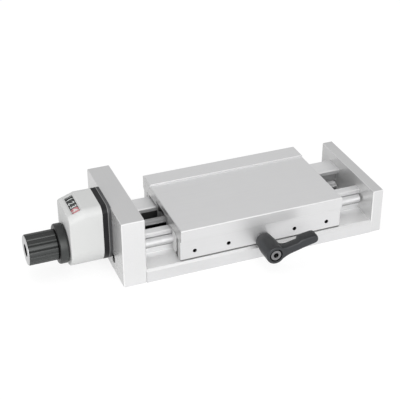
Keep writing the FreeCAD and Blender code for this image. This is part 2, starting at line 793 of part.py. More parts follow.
def carriage():
    """Plate with two skirts that straddle the rail, a locating strip and a recess."""
    c = carriage_edge_chamfer
    edge = carriage_width / 2
    strip_front_y = edge - strip_width
    strip_top_z = carriage_top_z + strip_height
    outline = [
        (-edge + c, carriage_top_z), (-edge, carriage_top_z - c),
        (-edge, flange_bottom_z), (skirt_front_y, flange_bottom_z - flange_bevel_height),
        (skirt_front_y, carriage_bottom_z), (gib_pocket_y, carriage_bottom_z),
        (gib_pocket_y, carriage_under_z), (recess_front_y, carriage_under_z),
        (recess_front_y, recess_top_z), (recess_rear_y, recess_top_z),
        (recess_rear_y, carriage_under_z), (liner_outer_y, carriage_under_z),
        (liner_outer_y, carriage_bottom_z), (skirt_rear_y, carriage_bottom_z),
        (skirt_rear_y, flange_bottom_z - flange_bevel_height), (edge, flange_bottom_z),
        (edge, strip_top_z - c), (edge - c, strip_top_z),
        (strip_front_y + strip_edge_chamfer, strip_top_z),
        (strip_front_y, strip_top_z - strip_edge_chamfer),
        (strip_front_y, carriage_top_z),
    ]
    body = prism_x(outline, -half_carriage, half_carriage)
    body = fuse_all([
        body,
        rounded_corner(gib_pocket_y, carriage_under_z, gib_corner_radius, 1, -1,
                       -half_carriage, half_carriage),
        rounded_corner(recess_rear_y, recess_top_z, recess_corner_radius, -1, -1,
                       -half_carriage, half_carriage),
        rounded_corner(recess_front_y, recess_top_z, recess_corner_radius, 1, -1,
                       -half_carriage, half_carriage),
    ])
    holes = [cylinder_y(skirt_front_y - 1, gib_joint_y, x, gib_screw_z, gib_screw_radius)
             for x in gib_screw_offsets]
    holes.append(cylinder_y(skirt_front_y - 1, gib_joint_y, lever_x, lever_z,
                            stud_radius + running_clearance))
    holes.extend(gib_pin(side) for side in (-1, 1))
    for side in (-1, 1):
        holes.append(end_bevel(side, carriage_top_z, -edge, strip_front_y))
        holes.append(end_bevel(side, strip_top_z, strip_front_y, edge))
    for x in nut_screw_xs():
        for y in nut_screw_ys():
            holes.append(cylinder_z(recess_top_z, recess_top_z + nut_screw_web_depth, x, y,
                                    nut_screw_radius))
    return cut_all(body, holes)


def end_bevel(side, top_z, y0, y1):
    """Wedge that breaks the edge between the carriage's top and one of its ends."""
    c = carriage_end_chamfer
    corner_x = side * half_carriage
    outline = [(corner_x, top_z - c), (corner_x + side * c, top_z),
               (corner_x, top_z + c), (corner_x - side * c, top_z)]
    return prism_y(outline, y0, y1)


def gib_pin(side):
    """Pin in the joint between skirt and gib, which keeps the gib from creeping."""
    x0, x1 = sorted((side * half_carriage, side * (half_carriage - gib_pin_length)))
    return cylinder_x(x0, x1, gib_joint_y, gib_pin_z, gib_pin_radius)


def gib_pins():
    pins = []
    for side in (-1, 1):
        socket = hexagon_prism(FreeCAD.Vector(side * half_carriage, gib_joint_y, gib_pin_z),
                               FreeCAD.Vector(-side, 0, 0), gib_pin_radius * key_depth_share,
                               gib_pin_radius)
        pins.append(gib_pin(side).cut(socket))
    return Part.makeCompound(pins)


def front_gib():
    """Adjustable strip between the front skirt and the front rod, hollowed for the rod."""
    top_z = carriage_under_z - gib_end_inset
    bottom_z = carriage_bottom_z + gib_end_inset
    foot_y = rail_front_y - gib_foot_gap
    inner_y = rail_front_y - gib_rod_gap
    outline = [
        (gib_outer_y, bottom_z), (foot_y, bottom_z), (foot_y, gib_foot_z),
        (inner_y, gib_foot_z), (inner_y, top_z), (gib_outer_y, top_z),
    ]
    reach = half_carriage - gib_end_inset
    gib = prism_x(outline, -reach, reach)
    corner = rounded_corner(gib_outer_y, top_z, gib_corner_radius, 1, -1,
                            -half_carriage, half_carriage)
    groove = cylinder_x(-half_carriage, half_carriage, rod_front_y, rod_z,
                        rod_radius + slide_clearance)
    return cut_all(gib, [corner, groove, gib_pin(-1), gib_pin(1)])


def rear_liner():
    """Fixed strip in the rear skirt, hollowed for the rear rod."""
    reach = half_carriage - gib_end_inset
    strip = box(-reach, reach, rail_rear_y + liner_gap, liner_outer_y,
                carriage_bottom_z + gib_end_inset, carriage_under_z)
    groove = cylinder_x(-half_carriage, half_carriage, rod_rear_y, rod_z,
                        rod_radius + slide_clearance)
    return strip.cut(groove)


def gib_set_screws():
    screws = []
    outer_y = skirt_front_y + gib_screw_inset
    for x in gib_screw_offsets:
        screw = cylinder_y(outer_y, gib_outer_y, x, gib_screw_z, gib_screw_radius)
        socket = hexagon_prism(FreeCAD.Vector(x, outer_y, gib_screw_z),
                               FreeCAD.Vector(0, 1, 0), gib_screw_key_radius, gib_screw_radius)
        screws.append(screw.cut(socket))
    return Part.makeCompound(screws)


# Nuts

nut_outer_x = half_carriage - nut_end_inset
nut_centre_x = nut_outer_x - nut_length / 2


def nut_screw_xs():
    return (-nut_centre_x, nut_centre_x)


def nut_screw_ys():
    return (axis_y - nut_screw_spacing / 2, axis_y + nut_screw_spacing / 2)


def nut_screw(x, y):
    head_top_z = nut_bottom_z + nut_screw_head_height
    head = cylinder_z(nut_bottom_z, head_top_z, x, y, nut_screw_head_radius)
    shank = cylinder_z(head_top_z, recess_top_z + nut_screw_web_depth, x, y, nut_screw_radius)
    return head.fuse(shank).removeSplitter()


def nut_screws():
    screws = []
    for x in nut_screw_xs():
        screws.extend(nut_screw(x, y) for y in nut_screw_ys())
    return Part.makeCompound(screws)


def spindle_nut(centre_x):
    """Block in the carriage's recess, threaded on the screw, with a wide mouth for its wiper."""
    block = box(centre_x - nut_length / 2, centre_x + nut_length / 2,
                axis_y - nut_half_width, axis_y + nut_half_width, nut_bottom_z, recess_top_z)
    long_edges = edges_along(block, FreeCAD.Vector(1, 0, 0))
    low = [e for e in long_edges if e.CenterOfMass.z < nut_bottom_z + 0.1]
    block = block.makeChamfer(nut_edge_chamfer, low)
    high = [e for e in edges_along(block, FreeCAD.Vector(1, 0, 0))
            if e.CenterOfMass.z > recess_top_z - 0.1]
    block = block.makeChamfer(nut_top_chamfer, high)
    side = 1 if centre_x > 0 else -1
    x0, x1 = sorted((side * nut_outer_x, side * (nut_outer_x - nut_mouth_depth)))
    tools = [cylinder_x(centre_x - nut_length, centre_x + nut_length, axis_y, axis_z,
                        screw_radius + running_clearance),
             cylinder_x(x0, x1, axis_y, axis_z, nut_mouth_radius)]
    tools.extend(nut_screw(centre_x, y) for y in nut_screw_ys())
    return cut_all(block, tools)


def nut_wipers():
    """Felt rings in the mouths of both nuts, which keep dirt off the thread."""
    rings = []
    for side in (-1, 1):
        outer_x = side * (nut_outer_x - wiper_depth)
        x0, x1 = sorted((outer_x, outer_x - side * wiper_thickness))
        rings.append(ring_x(x0, x1, axis_y, axis_z, nut_mouth_radius, screw_radius + wiper_gap))
    return Part.makeCompound(rings)


# Clamping lever

def clamp_pad():
    """Soft disc between the clamping stud and the gib."""
    return cylinder_y(gib_outer_y - pad_thickness, gib_outer_y, lever_x, lever_z, pad_radius)


def clamp_stud():
    """Threaded stud through the front skirt, with the serrated head that the lever grips."""
    tip_y = gib_outer_y - pad_thickness - stud_gap
    stud = cylinder_y(stud_head_y, tip_y, lever_x, lever_z, stud_radius)
    head = cylinder_y(stud_end_y, stud_head_y, lever_x, lever_z, stud_head_radius)
    thread = cylinder_y(stud_end_y, stud_thread_y, lever_x, lever_z, lever_screw_shank_radius)
    return stud.fuse(head).removeSplitter().cut(thread)


def lever_screw():
    """Screw in the lever's end that holds lever and spring on the stud."""
    head = cylinder_y(lever_head_outer_y, lever_head_inner_y, lever_x, lever_z,
                      lever_screw_head_radius)
    shank = cylinder_y(lever_head_inner_y, stud_thread_y, lever_x, lever_z,
                       lever_screw_shank_radius)
    socket = hexagon_prism(FreeCAD.Vector(lever_x, lever_head_outer_y, lever_z),
                           FreeCAD.Vector(0, 1, 0),
                           lever_screw_head_radius * key_depth_share,
                           lever_screw_head_height * key_depth_share)
    return head.fuse(shank).removeSplitter().cut(socket)


def lever_hub():
    """Turned hub about the stud, a little narrower at the skirt."""
    v = FreeCAD.Vector
    c = hub_end_chamfer
    profile = [
        v(0, hub_base_y, 0), v(hub_base_radius, hub_base_y, 0),
        v(hub_end_radius, hub_base_y - hub_flare_length, 0),
        v(hub_end_radius, hub_end_y + c, 0), v(hub_end_radius - c, hub_end_y, 0),
        v(0, hub_end_y, 0), v(0, hub_base_y, 0),
    ]
    hub = Part.Face(Part.makePolygon(profile)).revolve(v(0, 0, 0), v(0, 1, 0), 360)
    hub.translate(v(lever_x, 0, lever_z))
    return hub


def arm_slab(start, thickness):
    """Bar with one round end and bevelled long edges; start is measured from the hub's axis."""
    v = FreeCAD.Vector
    half = arm_width / 2
    round_x = arm_reach - half
    edges = [
        Part.LineSegment(v(start, 0, half), v(round_x, 0, half)),
        Part.Arc(v(round_x, 0, half), v(arm_reach, 0, 0), v(round_x, 0, -half)),
        Part.LineSegment(v(round_x, 0, -half), v(start, 0, -half)),
        Part.LineSegment(v(start, 0, -half), v(start, 0, half)),
    ]
    slab = Part.Face(Part.Wire([e.toShape() for e in edges])).extrude(v(0, thickness, 0))
    bevelled = [e for e in slab.Edges if e.CenterOfMass.x > start + 0.1
                and abs(e.CenterOfMass.y - thickness / 2) > thickness / 2 - 0.1]
    return slab.makeChamfer(arm_chamfer, bevelled)


def lever_arm():
    """Arm of the lever, thicker towards its tip."""
    v = FreeCAD.Vector
    tip = arm_slab(arm_reach - arm_tip_length, arm_thickness + arm_tip_rise)
    arm = fuse_all([arm_slab(0, arm_thickness), tip])
    arm.rotate(v(0, 0, 0), v(0, 1, 0), -arm_angle)
    arm.translate(v(lever_x, hub_end_y, lever_z - arm_drop))
    return arm


def lever_handle():
    handle = fuse_all([lever_hub(), lever_arm()])
    bores = [
        cylinder_y(shelf_outer_y + hub_shelf_thickness, hub_base_y + 1, lever_x, lever_z,
                   stud_head_radius + hub_fit),
        cylinder_y(hub_end_y - 1, shelf_outer_y, lever_x, lever_z, hub_recess_radius),
        cylinder_y(hub_end_y, hub_base_y, lever_x, lever_z,
                   lever_screw_shank_radius + shelf_hole_clearance),
    ]
    return cut_all(handle, bores)


def build():
    os.makedirs("parts", exist_ok=True)
    write("base_profile", base_profile())
    write("guide_rod_front", guide_rod(rod_front_y))
    write("guide_rod_rear", guide_rod(rod_rear_y))
    write("drive_end_plate", drive_end_plate())
    write("free_end_plate", free_end_plate())
    write("drive_plate_screws", plate_screws(drive_face_x, 1))
    write("free_plate_screws", plate_screws(free_face_x, -1))
    write("spindle_bush", spindle_bush())
    write("bearing_cover", bearing_cover())
    write("thrust_collar", thrust_collar())
    write("lead_screw", lead_screw())
    write("indicator_adapter", indicator_adapter())
    write("adapter_screws", adapter_screws())
    write("indicator_base", indicator_base())
    write("indicator_housing", indicator_housing())
    write("indicator_window", indicator_window())
    write("counter_axle", counter_axle())
    for index, name in enumerate(("tenths", "ones", "tens", "hundreds")):
        write("number_wheel_" + name, number_wheel(index))
    write("counter_gear", counter_gear())
    write("transfer_shaft", transfer_shaft())
    write("hollow_shaft", hollow_shaft())
    write("drive_gear", drive_gear())
    write("knob_core", knob_core())
    write("knob_grip", knob_grip())
    write("knob_collar", knob_collar())
    write("knob_set_screw", knob_set_screw())
    write("carriage", carriage())
    write("front_gib", front_gib())
    write("rear_liner", rear_liner())
    write("gib_set_screws", gib_set_screws())
    write("gib_pins", gib_pins())
    write("spindle_nut", spindle_nut(-nut_centre_x))
    write("backlash_nut", spindle_nut(nut_centre_x))
    write("nut_screws", nut_screws())
    write("nut_wipers", nut_wipers())
    write("clamp_pad", clamp_pad())
    write("clamp_stud", clamp_stud())
    write("lever_screw", lever_screw())
    write("lever_handle", lever_handle())


build()
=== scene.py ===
# %% [markdown]
# # Adjustment slide
# This script dresses a small linear slide: an anodised aluminium base with two inlaid steel rods,
# a carriage moved by a fine lead screw, a knob with a position indicator, and a clamping lever.
# The imported model is loaded first and stays as it is. The pieces that are made here take their
# place from the boxes of the loaded nodes. Only what the photograph alone shows, such as the width
# of a flute or the place of a painted shade, is written down as a number.

# %% Load the frame
from math import cos, pi, radians, sin

import bmesh
import bpy
import numpy as np
from mathutils import Matrix, Vector


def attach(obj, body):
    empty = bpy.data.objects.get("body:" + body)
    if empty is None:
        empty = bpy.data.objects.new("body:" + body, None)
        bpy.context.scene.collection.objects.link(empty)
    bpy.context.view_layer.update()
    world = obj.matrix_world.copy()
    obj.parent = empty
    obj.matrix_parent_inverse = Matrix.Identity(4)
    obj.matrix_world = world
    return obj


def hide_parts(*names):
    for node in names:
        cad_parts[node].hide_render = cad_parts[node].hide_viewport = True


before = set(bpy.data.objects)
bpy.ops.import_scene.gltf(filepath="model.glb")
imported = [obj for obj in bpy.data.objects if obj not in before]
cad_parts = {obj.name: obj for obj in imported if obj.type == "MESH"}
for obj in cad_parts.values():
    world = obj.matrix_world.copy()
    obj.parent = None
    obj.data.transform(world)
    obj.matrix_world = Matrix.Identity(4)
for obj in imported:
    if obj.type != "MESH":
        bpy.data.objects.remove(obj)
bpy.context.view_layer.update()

scene = bpy.context.scene
scene.view_settings.view_transform = "Standard"
MM = 0.001

# %% [markdown]
# ## The camera
# The photograph was taken from the left front and from well above, with a long lens. Its place,
# turn and focal length were worked out from the straight edges of the end plates and the carriage.
# A Track To constraint could aim it, but a matrix also holds the small roll that was measured. A
# camera looks along its own -Z, so the matrix is built from three directions: right, up and back.

# %% Camera
camera_azimuth = radians(-21.093)
camera_elevation = radians(31.0605)
camera_roll = radians(-0.330)
camera_place = Vector((-0.2618, -0.5973, 0.4166))
camera_lens_mm = 95.107
sensor_mm = 36.0

back = Vector((sin(camera_azimuth) * cos(camera_elevation),
               -cos(camera_azimuth) * cos(camera_elevation), sin(camera_elevation)))
level_right = Vector((cos(camera_azimuth), sin(camera_azimuth), 0))
level_up = back.cross(level_right)
right = cos(camera_roll) * level_right + sin(camera_roll) * level_up
up = -sin(camera_roll) * level_right + cos(camera_roll) * level_up

lens = bpy.data.cameras.new("photo_camera")
lens.lens = camera_lens_mm
lens.sensor_width = sensor_mm
camera = bpy.data.objects.new("photo_camera", lens)
scene.collection.objects.link(camera)
turn = Matrix((right, up, back)).transposed().to_4x4()
camera.matrix_world = Matrix.Translation(camera_place) @ turn
scene.camera = camera
print("camera at", [round(v, 3) for v in camera_place], "lens", lens.lens)

# %% [markdown]
# ## Nodes in short form
# A material here is a Principled shader whose colour, roughness or bump is varied by procedural
# textures. Node groups could hold the parts that repeat. A small class is used instead, because
# each value then sits on the node's own socket, where it can be read and exported. It adds nodes
# and links their inputs, calculates, maps a value to a range and mixes two colours.

# %% Helper for nodes
class Nodes:
    """The nodes of one tree, added and linked in short form."""

    def __init__(self, tree):
        self.tree = tree

    def feed(self, socket, value):
        """Link an output to a socket, or set the socket to a plain value."""
        if isinstance(value, bpy.types.NodeSocket):
            self.tree.links.new(value, socket)
        else:
            socket.default_value = value

    def node(self, kind, settings=(), **inputs):
        """Add a node; the keywords name its input sockets, with _ for a space."""
        made = self.tree.nodes.new(kind)
        for key, value in dict(settings).items():
            setattr(made, key, value)
        for key, value in inputs.items():
            self.feed(made.inputs[key.replace("_", " ")], value)
        return made

    def in_order(self, made, *values):
        """Feed a node's first inputs in their order."""
        for socket, value in zip(made.inputs, values):
            self.feed(socket, value)
        return made

    def math(self, operation, first, second=0.0):
        """One arithmetic step on two values."""
        made = self.node("ShaderNodeMath", {"operation": operation})
        return self.in_order(made, first, second).outputs[0]

    def vector_math(self, operation, first, second, output):
        """One step on two vectors, giving the named output."""
        made = self.node("ShaderNodeVectorMath", {"operation": operation})
        return self.in_order(made, first, second).outputs[output]

    def split(self, vector):
        """X, Y and Z of a vector."""
        return self.node("ShaderNodeSeparateXYZ", Vector=vector).outputs

    def ranged(self, value, low, high, start=0.25, end=0.75):
        """Map a value from start..end to low..high, and hold it there outside."""
        made = self.node("ShaderNodeMapRange", Value=value, From_Min=start, From_Max=end,
                         To_Min=low, To_Max=high)
        return made.outputs["Result"]

    def blend(self, factor, first, second):
        """Mix two colours by a factor; a single number stands for a neutral grey."""
        made = self.node("ShaderNodeMix", {"data_type": "RGBA"})
        self.feed(made.inputs[0], factor)
        for socket, colour in ((made.inputs[6], first), (made.inputs[7], second)):
            if isinstance(colour, float):
                colour = (colour, colour, colour)
            if isinstance(colour, tuple):
                colour = (*colour, 1.0)
            self.feed(socket, colour)
        return made.outputs[2]

    def number_blend(self, factor, first, second):
        """Mix two numbers by a factor."""
        made = self.node("ShaderNodeMix")
        for socket, value in zip((made.inputs[0], made.inputs[2], made.inputs[3]),
                                 (factor, first, second)):
            self.feed(socket, value)
        return made.outputs[0]

    def mix_shaders(self, factor, first, second):
        """Mix two shaders by a factor and send the result to the material's output."""
        mix = self.in_order(self.node("ShaderNodeMixShader"), factor, first, second)
        self.feed(self.tree.nodes["Material Output"].inputs["Surface"], mix.outputs[0])


print("helper for nodes ready")

# %% [markdown]
# ## A finish
# The nodes of the frame lie at the origin, so Object coordinates are simply metres in the slide's
# own frame. An unwrapped surface would be needed for painted pictures. Noise on Object coordinates
# needs none and has the right size at once. A finish adds to the class above what a surface needs:
# a stretched noise, the direction of a face, a box in space and a height turned into a bump.

# %% Helper for materials
class Finish(Nodes):
    """A new material with its Principled shader and its Object coordinates."""

    def __init__(self, name, colour, roughness, metallic=0.0, specular=0.5):
        self.material = bpy.data.materials.new(name)
        self.material.use_nodes = True
        super().__init__(self.material.node_tree)
        self.shader = self.tree.nodes["Principled BSDF"]
        self.link((*colour, 1.0), "Base Color")
        self.link(roughness, "Roughness")
        self.link(metallic, "Metallic")
        self.link(specular, "Specular IOR Level")
        self.coordinates = self.node("ShaderNodeTexCoord").outputs["Object"]

    def link(self, value, socket):
        """Give one of the shader's own sockets an output, or a value that is the same all over."""
        self.feed(self.shader.inputs[socket], value)

    def noise(self, stretch, detail=3.0):
        """Noise whose pattern repeats about stretch times per metre along X, Y and Z."""
        place = self.node("ShaderNodeMapping", Vector=self.coordinates, Scale=stretch)
        texture = self.node("ShaderNodeTexNoise", Vector=place.outputs["Vector"], Scale=1.0,
                            Detail=detail, Roughness=0.55, Distortion=0.0)
        return texture.outputs["Fac"]

    def facing(self):
        """X, Y and Z of the direction in which the surface looks."""
        return self.split(self.node("ShaderNodeNewGeometry").outputs["Normal"])

    def within(self, low, high, edge=0.3 * MM):
        """1 inside a box of Object coordinates and 0 outside, with a soft edge."""
        place = self.split(self.coordinates)
        inside = 1.0
        for letter, start, end in zip("XYZ", low, high):
            above = self.ranged(place[letter], 0, 1, start=start - edge, end=start + edge)
            below = self.ranged(place[letter], 1, 0, start=end - edge, end=end + edge)
            inside = self.math("MULTIPLY", self.math("MULTIPLY", above, below), inside)
        return inside

    def bump(self, height, distance, strength=0.5):
        """Raise the surface by distance, in metres, where the height is 1."""
        made = self.node("ShaderNodeBump", Height=height, Distance=distance, Strength=strength)
        self.link(made.outputs["Normal"], "Normal")


print("helper for materials ready")

# %% [markdown]
# ## Reading and dressing nodes
# Each loaded node keeps its place in its mesh, so the box round its points tells where the piece is
# and how large. The places could be written down as numbers too, but read from the mesh they always
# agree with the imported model. Dressing a node puts one material in place of what it had.

# %% Helpers for nodes
def place_of(name):
    """Centre and half extents of one node of the frame, read from its mesh."""
    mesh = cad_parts[name].data
    points = np.empty(len(mesh.vertices) * 3)
    mesh.vertices.foreach_get("co", points)
    points = points.reshape(-1, 3)
    low, high = points.min(axis=0), points.max(axis=0)
    return (low + high) / 2, (high - low) / 2


def dress(material, *nodes):
    """Give a material to nodes of the frame."""
    for name in nodes:
        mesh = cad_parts[name].data
        mesh.materials.clear()
        mesh.materials.append(material)


carriage_half = place_of("carriage")[1]
print("the carriage is", [round(float(2 * v / MM), 1) for v in carriage_half], "mm")

# %% [markdown]
# ## Clear-anodised aluminium
# Base, end plates and carriage are aluminium with a fine matt anodised skin. It is a metal, but its
# pores scatter the light, so it looks like pale grey satin. One flat grey would pass for painted
# plastic. So faint lines run along the extrusion, the grey drifts a little from place to place, and
# handling has left slightly smoother spots. Three kinds of face get a grey apart from the sides, by
# the direction in which they look. Faces that look up are painted lighter on the base and the
# carriage and darker on the end plates, as painted light and shade. Narrow bevels beside the front
# faces, which look along no axis, carry a painted highlight. Ends, which look along X, are polished,
# so that they mirror what stands in front of them, and are painted darker as shade. Each could have
# a material of its own, but the loaded meshes are loose triangles, and the surface normal tells the
# kinds apart by itself. The base's floor is painted paler than its other upward faces, as painted
# light thrown back from the walls round it, and its height tells it apart.

# %% Kinds of face
def face_kinds(finish):
    """Shares of bevels, of upward faces and of ends, from X, Y and Z of the surface normal.

    A bevel's largest part along any axis is small, and it looks to the front and not down. An
    upward face has a large Z, and an end a large X of either sign.
    """
    facing = finish.facing()
    x, y, z = [finish.math("ABSOLUTE", facing[letter]) for letter in "XYZ"]
    largest = finish.math("MAXIMUM", finish.math("MAXIMUM", x, y), z)
    askew = finish.ranged(largest, 1, 0, start=0.72, end=0.9)
    forward = finish.ranged(facing["Y"], 1, 0, start=-0.5, end=-0.3)
    not_down = finish.ranged(facing["Z"], 0, 1, start=-0.4, end=-0.2)
    bevel = finish.math("MULTIPLY", finish.math("MULTIPLY", askew, forward), not_down)
    upward = finish.ranged(facing["Z"], 0, 1, start=0.8, end=0.95)
    end = finish.ranged(x, 0, 1, start=0.9, end=0.98)
    return bevel, upward, end


print("kinds of face ready")

# %% Anodised aluminium
def anodised(name, grain, side_colour, painted_top_colour, bevel_highlight=0.86, painted_end_colour=0.6,
             end_roughness=0.28, end_metallic=0.5, painted_floor_light=None, painted_shades=()):
    """Satin aluminium; grain is how often the fine lines repeat per metre along X, Y and Z.

    Colour = side, upper, bevel or end colour by the direction of the face: the upper colour is
    painted light and shade, the bevel colour a painted highlight and the end colour painted shade.
    If a floor colour is given, upward faces at the floor's height get it as painted light. Each
    colour is a little darker where the mix of slow and fine noise is low, then darkened as painted
    shade inside each box of shade. A box is a low and a high corner and the share of its darkening
    at its left and at its right end.
    """
    side_metallic, worn_share, shade_black = 0.75, 0.93, 0.012
    dull, satin_mean, smooth = 0.50, 0.45, 0.41
    finish = Finish(name, (0.66, 0.66, 0.665), 0.46, metallic=side_metallic)
    cloud = finish.noise((22, 22, 22), detail=4.0)
    lines = finish.noise(grain, detail=2.0)
    pores = finish.noise((5200, 5200, 5200), detail=2.0)
    tone = finish.ranged(finish.math("ADD", finish.math("MULTIPLY", cloud, 0.6),
                                     finish.math("MULTIPLY", lines, 0.4)), 0, 1)
    # The grey of upward faces is painted light and shade, and the floor's grey is painted light.
    upper = finish.blend(tone, tuple(worn_share * c for c in painted_top_colour), painted_top_colour)
    sides = finish.blend(tone, tuple(worn_share * c for c in side_colour), side_colour)
    if painted_floor_light:
        floor_light_mask = finish.within((-1, -1, 9 * MM), (1, 1, 10.5 * MM))
        upper = finish.blend(floor_light_mask, upper, painted_floor_light)
    bevel, upward, end = face_kinds(finish)
    # Ends get a darker grey as painted shade, and bevels a painted highlight.
    colour = finish.blend(end, finish.blend(upward, sides, upper), painted_end_colour)
    colour = finish.blend(bevel, colour, bevel_highlight)
    along = finish.split(finish.coordinates)["X"]
    # Each box darkens the colour towards near black as painted shade.
    for low, high, at_left, at_right in painted_shades:
        depth = finish.ranged(along, at_left, at_right, start=low[0], end=high[0])
        inside = finish.math("MULTIPLY", finish.within(low, high), depth)
        colour = finish.blend(inside, colour, shade_black)
    finish.link(colour, "Base Color")
    satin = finish.ranged(cloud, dull, smooth)
    polished = finish.math("MULTIPLY", satin, end_roughness / satin_mean)
    finish.link(finish.number_blend(end, satin, polished), "Roughness")
    finish.link(finish.ranged(end, side_metallic, end_metallic, start=0, end=1), "Metallic")
    finish.bump(finish.math("ADD", finish.math("MULTIPLY", lines, 0.5),
                            finish.math("MULTIPLY", pores, 0.5)), 0.01 * MM)
    return finish.material


print("anodising ready")

# %% [markdown]
# ## Four pieces in aluminium
# Painted shade darkens the places where shadow falls. On the base they are the hollow behind the
# screw, the channel on the knob's side and the strip below the front rod. On the carriage they are
# the joint beside the gib, the lower edge of the front skirt and the gap over the rail at the left
# end. Painted masks could place them, but a box in space needs no picture. The extruded and the
# planed faces have lines along X, the sawn and the milled plates along Y.

# %% Base, carriage and end plates
extrusion_lines, plate_lines = (6, 1500, 1500), (1400, 9, 1400)
# Boxes of painted shade, each a low and a high corner and its share at the left and the right end.
behind_screw = ((-0.086, 0.0116, 0.0115), (0.086, 0.0165, 0.0224), 0.9, 0.3)
channel_left = ((-0.086, -0.0134, 0.009), (0.0, 0.0114, 0.0225), 0.82, 0.6)
below_front_rod = ((-0.086, -0.0215, 0.0139), (0.086, -0.0195, 0.0156), 0.6, 0.6)
beside_gib = ((-0.061, -0.0329, 0.008), (0.061, -0.0309, 0.0255), 0.95, 0.95)
skirt_edge = ((-0.061, -0.041, 0.0095), (0.061, -0.036, 0.0107), 0.85, 0.85)
gap_over_rail = ((-0.061, 0.011, 0.0262), (-0.0598, 0.029, 0.0271), 0.8, 0.8)
# The upward greys are painted light on the base and the carriage and painted shade on the end
# plates; the bevel grey is a painted highlight, the end grey painted shade and the floor grey
# painted light.
extruded = anodised("anodised_extrusion", extrusion_lines, (0.70, 0.70, 0.705),
                    (0.82, 0.82, 0.825), bevel_highlight=0.74, painted_floor_light=0.91,
                    painted_shades=(behind_screw, channel_left, below_front_rod))
planed = anodised("anodised_planed", extrusion_lines, (0.70, 0.70, 0.705), (0.75, 0.75, 0.755),
                  painted_end_colour=0.54, end_roughness=0.24, end_metallic=0.4,
                  painted_shades=(beside_gib, skirt_edge, gap_over_rail))
milled = anodised("anodised_milled", plate_lines, (0.75, 0.75, 0.753), (0.65, 0.65, 0.653),
                  painted_end_colour=0.56)
sawn = anodised("anodised_sawn", plate_lines, (0.70, 0.70, 0.703), (0.65, 0.65, 0.653),
                painted_end_colour=0.57, end_roughness=0.22, end_metallic=0.33)
dress(extruded, "base_profile")
dress(planed, "carriage")
dress(milled, "drive_end_plate")
dress(sawn, "free_end_plate")
print("anodised pieces dressed")

# %% [markdown]
# ## Steel
# The guide rods are hardened and ground, with marks round the rod from the grinding wheel. The lead
# screw and the small fasteners are duller. An anisotropic shader could stretch the reflections, but
# it needs tangents, which loose triangles don't have. A fine bump does without: the marks repeat
# quickly along the axis and hardly at all round it. The screw's lower flanks on the knob's side lie
# in the channel's shadow and are painted nearly black there: painted shade.

# %% Steel finishes
def steel(name, colour, roughness, marks, shade=False):
    """Turned or ground steel; marks is how often the tool marks repeat along X, Y and Z.

    With shade, faces that don't look up are painted nearly black at negative X, as painted shade.
    """
    worn_share, shade_black = 0.82, 0.015
    finish = Finish(name, colour, roughness, metallic=1.0)
    rings = finish.noise(marks, detail=2.0)
    film = finish.noise((60, 60, 60), detail=5.0)
    body = finish.blend(finish.ranged(film, 0, 1), tuple(worn_share * c for c in colour), colour)
    if shade:
        along = finish.split(finish.coordinates)["X"]
        flank = finish.ranged(finish.facing()["Z"], 1, 0, start=0.3, end=0.5)
        side = finish.math("MULTIPLY", flank, finish.ranged(along, 1, 0, start=0.0, end=20 * MM))
        body = finish.blend(side, body, shade_black)
    finish.link(body, "Base Color")
    finish.link(finish.ranged(film, roughness * 1.25, roughness * 0.8), "Roughness")
    finish.bump(rings, 0.004 * MM, 0.6)
    return finish.material


ground_steel = steel("ground_steel", (0.78, 0.78, 0.785), 0.58, (2400, 40, 40))
thread_steel = steel("thread_steel", (0.52, 0.52, 0.525), 0.3, (60, 60, 60), shade=True)
turned_steel = steel("turned_steel", (0.5, 0.5, 0.505), 0.25, (2600, 60, 60))
zinc_plated = steel("zinc_plated", (0.56, 0.57, 0.58), 0.32, (900, 900, 900))
black_oxide = steel("black_oxide", (0.016, 0.016, 0.017), 0.5, (1200, 1200, 1200))
bronze = steel("bronze", (0.62, 0.41, 0.2), 0.3, (2600, 60, 60))
dress(ground_steel, "guide_rod_front", "guide_rod_rear", "counter_axle")
dress(turned_steel, "lead_screw", "thrust_collar", "hollow_shaft", "bearing_cover")
dress(zinc_plated, "adapter_screws", "nut_screws", "clamp_stud")
dress(black_oxide, "drive_plate_screws", "free_plate_screws", "knob_set_screw",
      "gib_set_screws", "gib_pins")
dress(bronze, "spindle_bush", "clamp_pad")
print("steel pieces dressed")

# %% [markdown]
# ## Dark bores
# The knob's core and the lever's screw are turned faces with a deep hole in the middle. Little light
# reaches into that hole, so it is painted nearly black as painted shade. A second material on the
# hole's faces would do it as well, but the distance from the piece's axis is enough to tell the two
# apart: the coordinate along the axis is set to zero, and what is left is measured from the centre.
# The screw's axis is read from the frame. The stud's round is drawn with flat sides that put its box
# a hair off its axis, so that axis is written down.

# %% Faces with a dark bore
screw_centre, screw_half = place_of("lead_screw")
stud_centre = (0, 0, 14.5 * MM)


def bored(name, colour, roughness, axis, centre, bore_radius):
    """Turned metal that is painted nearly black, as painted shade, within bore_radius of an axis
    along X or Y.
    """
    worn_share, bore_edge, hole_shade, hole_roughness = 0.85, 0.1 * MM, 0.006, 0.8
    finish = Finish(name, colour, roughness, metallic=0.9)
    across = (0.0 if axis == "X" else 1.0, 0.0 if axis == "Y" else 1.0, 1.0)
    flat = finish.vector_math("MULTIPLY", finish.coordinates, across, "Vector")
    middle = [c * a for c, a in zip(centre, across)]
    distance = finish.vector_math("DISTANCE", flat, middle, "Value")
    film = finish.noise((300, 300, 300), detail=4.0)
    bright = finish.blend(finish.ranged(film, 0, 1), tuple(worn_share * c for c in colour), colour)
    inside = finish.ranged(distance, 1, 0, start=bore_radius - bore_edge, end=bore_radius)
    finish.link(finish.blend(inside, bright, hole_shade), "Base Color")
    finish.link(finish.ranged(inside, roughness, hole_roughness, start=0, end=1), "Roughness")
    return finish.material


core_metal = bored("core_metal", (0.6, 0.6, 0.605), 0.5, "X", screw_centre, 4.5 * MM)
screw_metal = bored("screw_metal", (0.25, 0.25, 0.255), 0.42, "Y", stud_centre, 1.9 * MM)
dress(core_metal, "knob_core")
dress(screw_metal, "lever_screw")
print("bored faces dressed")
